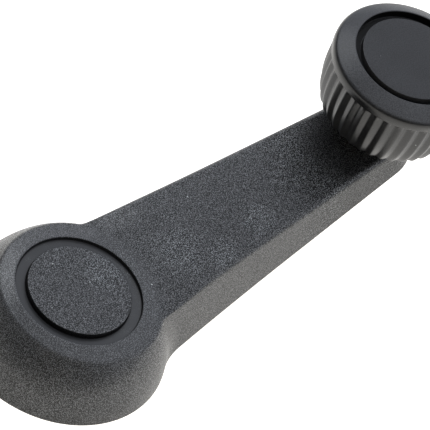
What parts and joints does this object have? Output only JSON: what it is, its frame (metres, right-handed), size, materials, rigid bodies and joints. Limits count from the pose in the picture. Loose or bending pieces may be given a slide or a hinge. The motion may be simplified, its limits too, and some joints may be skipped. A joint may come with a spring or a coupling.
{
  "type": "car window winder handle",
  "caption": "Cranked black plastic winder handle for a car window: hollow arm, splined hub with snap cap, and a ribbed knob that spins on its spindle.",
  "frame": {"origin": "on the hub's axis, at the centre of the closed end face of the splined socket, where the end of the window shaft stops", "axes": "+Z along the hub's axis from the door into the car, +X from the hub's axis towards the knob's axis, +Y completes the right-handed set"},
  "size_m": [0.1282, 0.048, 0.0452],
  "materials": {
    "grained_plastic": "fine leather grain",
    "matt_plastic": "fine matt",
    "satin_plastic": "smooth satin",
    "pale_nylon": "as moulded",
    "zinc_alloy": "as cast",
    "spring_steel": "bright drawn",
    "plated_steel": "zinc plated"
  },
  "bodies": {
    "crank": {"crank_arm": "grained_plastic", "hub_cap": "grained_plastic", "drive_insert": "zinc_alloy", "retaining_clip": "spring_steel", "knob_spindle": "plated_steel", "back_washer": "plated_steel", "thrust_washer": "plated_steel", "wave_washer": "spring_steel", "lock_ring": "spring_steel"},
    "knob": {"knob_body": "matt_plastic", "knob_cap": "satin_plastic", "knob_bush": "pale_nylon"}
  },
  "joints": [
    {"name": "knob_spin", "type": "hinge", "parent": "crank", "child": "knob", "pos_m": [0.087, 0, 0.0262], "axis": [0, 0, 1], "continuous": true}
  ]
}
